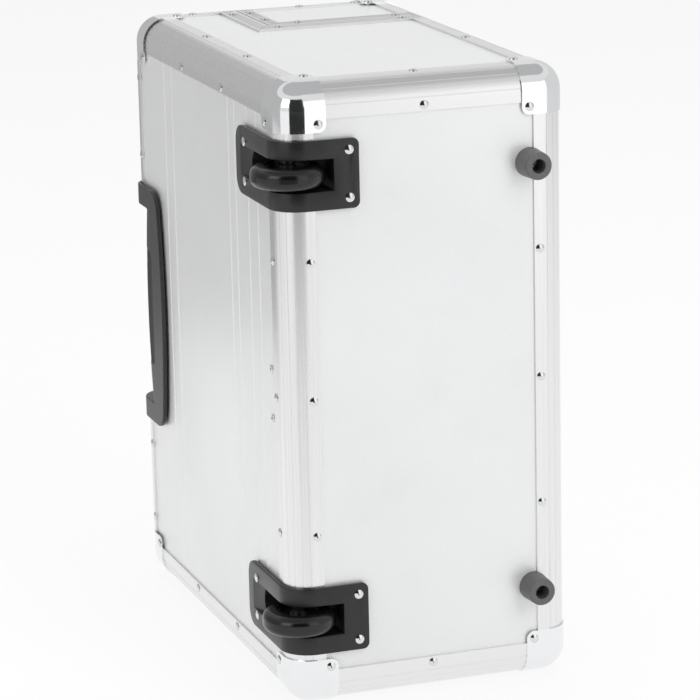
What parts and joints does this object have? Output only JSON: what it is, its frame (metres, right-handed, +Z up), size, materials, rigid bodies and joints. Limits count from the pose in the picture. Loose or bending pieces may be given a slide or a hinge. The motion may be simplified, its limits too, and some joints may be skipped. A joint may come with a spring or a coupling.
{
  "type": "trolley pilot case",
  "caption": "Hard-shell trolley pilot case standing on end: framed panels, corner caps, recessed wheels, pull-out trolley, latched lid and carry handle.",
  "frame": {"origin": "on the floor under the standing case, midway across its outline in X and in Y", "axes": "+Z up along the case's length, +X from the back with the trolley towards the front with the latches, +Y from the base with the wheels towards the top with the carry handle"},
  "size_m": [0.2569, 0.4154, 0.4852],
  "materials": {
    "panel_face": "pale silver laminate with a fine stipple",
    "edge_aluminium": "anodised, fine lengthwise grain",
    "rim_aluminium": "anodised, satin",
    "cap_chrome": "polished",
    "rivet_steel": "domed heads, bright",
    "black_plastic": "fine texture",
    "tyre_rubber": "smooth, slight sheen",
    "hub_plastic": "moulded",
    "axle_steel": "ground",
    "foot_rubber": "matt",
    "tube_aluminium": "anodised",
    "grip_plastic": "fine texture",
    "lining_fabric": "woven lining on board",
    "latch_steel": "plated",
    "hinge_steel": "rolled strip"
  },
  "bodies": {
    "body": {"bottom_panel": "panel_face", "back_panel": "panel_face", "front_panel": "panel_face", "top_strip_panel": "panel_face", "upper_end_panel": "panel_face", "lower_end_panel": "panel_face", "back_bottom_edge": "edge_aluminium", "front_bottom_edge": "edge_aluminium", "back_top_edge": "edge_aluminium", "upper_end_edges": "edge_aluminium", "lower_end_edges": "edge_aluminium", "body_rim": "rim_aluminium", "upper_corner_caps": "cap_chrome", "lower_corner_caps": "cap_chrome", "body_rivets": "rivet_steel", "cap_rivets": "rivet_steel", "wheel_housing_upper": "black_plastic", "wheel_housing_lower": "black_plastic", "wheel_axles": "axle_steel", "wheel_spacers": "hub_plastic", "rubber_feet": "foot_rubber", "body_screws": "rivet_steel", "trolley_outer_tubes": "tube_aluminium", "trolley_base_bracket": "black_plastic", "grip_well": "black_plastic", "tube_collars": "black_plastic", "latch_case_upper": "latch_steel", "latch_case_lower": "latch_steel", "body_lining": "lining_fabric", "divider": "lining_fabric", "hinge_body_leaf": "hinge_steel", "hinge_pin": "hinge_steel"},
    "wheel_upper": {"wheel_tyre_upper": "tyre_rubber", "wheel_hub_upper": "hub_plastic"},
    "wheel_lower": {"wheel_tyre_lower": "tyre_rubber", "wheel_hub_lower": "hub_plastic"},
    "trolley_middle": {"trolley_middle_tubes": "tube_aluminium"},
    "trolley_inner": {"trolley_inner_tubes": "tube_aluminium", "trolley_grip": "grip_plastic"},
    "release": {"release_button": "black_plastic"},
    "slide_upper": {"latch_slide_upper": "latch_steel"},
    "slide_lower": {"latch_slide_lower": "latch_steel"},
    "key_upper": {"key_barrel_upper": "latch_steel"},
    "key_lower": {"key_barrel_lower": "latch_steel"},
    "hasp_upper": {"hasp_upper": "latch_steel"},
    "hasp_lower": {"hasp_lower": "latch_steel"},
    "lid": {"lid_top_panel": "panel_face", "lid_front_panel": "panel_face", "lid_end_panels": "panel_face", "lid_edges": "edge_aluminium", "lid_rim": "rim_aluminium", "lid_corner_caps": "cap_chrome", "lid_rivets": "rivet_steel", "lid_cap_rivets": "rivet_steel", "lid_lining": "lining_fabric", "hinge_lid_leaf": "hinge_steel", "handle_brackets": "latch_steel", "handle_pins": "axle_steel", "hasp_mounts": "latch_steel"},
    "carry_handle": {"carry_handle": "black_plastic"}
  },
  "joints": [
    {"name": "lid_hinge", "type": "hinge", "parent": "body", "child": "lid", "pos_m": [-0.02555, 0.19805, 0.2426], "axis": [0, 0, 1], "range_deg": [0, 95]},
    {"name": "wheel_upper_spin", "type": "hinge", "parent": "body", "child": "wheel_upper", "pos_m": [-0.10045, -0.17965, 0.4144], "axis": [0, 0, 1], "continuous": true},
    {"name": "wheel_lower_spin", "type": "hinge", "parent": "body", "child": "wheel_lower", "pos_m": [-0.10045, -0.17965, 0.0708], "axis": [0, 0, 1], "continuous": true},
    {"name": "trolley_middle_slide", "type": "slide", "parent": "body", "child": "trolley_middle", "axis": [0, 1, 0], "range_m": [0, 0.26]},
    {"name": "trolley_inner_slide", "type": "slide", "parent": "trolley_middle", "child": "trolley_inner", "axis": [0, 1, 0], "range_m": [0, 0.26]},
    {"name": "release_press", "type": "slide", "parent": "trolley_inner", "child": "release", "axis": [0, -1, 0], "range_m": [0, 0.003], "stiffness_N_per_m": 400},
    {"name": "latch_slide_upper", "type": "slide", "parent": "body", "child": "slide_upper", "axis": [0, 0, -1], "range_m": [0, 0.0085]},
    {"name": "key_turn_upper", "type": "hinge", "parent": "body", "child": "key_upper", "pos_m": [0.12305, 0.05935, 0.3606], "axis": [1, 0, 0], "range_deg": [0, 90]},
    {"name": "hasp_hinge_upper", "type": "hinge", "parent": "lid", "child": "hasp_upper", "pos_m": [0.12505, 0.10315, 0.3726], "axis": [0, 0, 1], "range_deg": [0, 100]},
    {"name": "latch_slide_lower", "type": "slide", "parent": "body", "child": "slide_lower", "axis": [0, 0, -1], "range_m": [0, 0.0085]},
    {"name": "key_turn_lower", "type": "hinge", "parent": "body", "child": "key_lower", "pos_m": [0.12305, 0.05935, 0.1006], "axis": [1, 0, 0], "range_deg": [0, 90]},
    {"name": "hasp_hinge_lower", "type": "hinge", "parent": "lid", "child": "hasp_lower", "pos_m": [0.12505, 0.10315, 0.1126], "axis": [0, 0, 1], "range_deg": [0, 100]},
    {"name": "carry_handle_hinge", "type": "hinge", "parent": "lid", "child": "carry_handle", "pos_m": [0.02285, 0.20165, 0.2426], "axis": [0, 0, 1], "range_deg": [0, 92]}
  ]
}
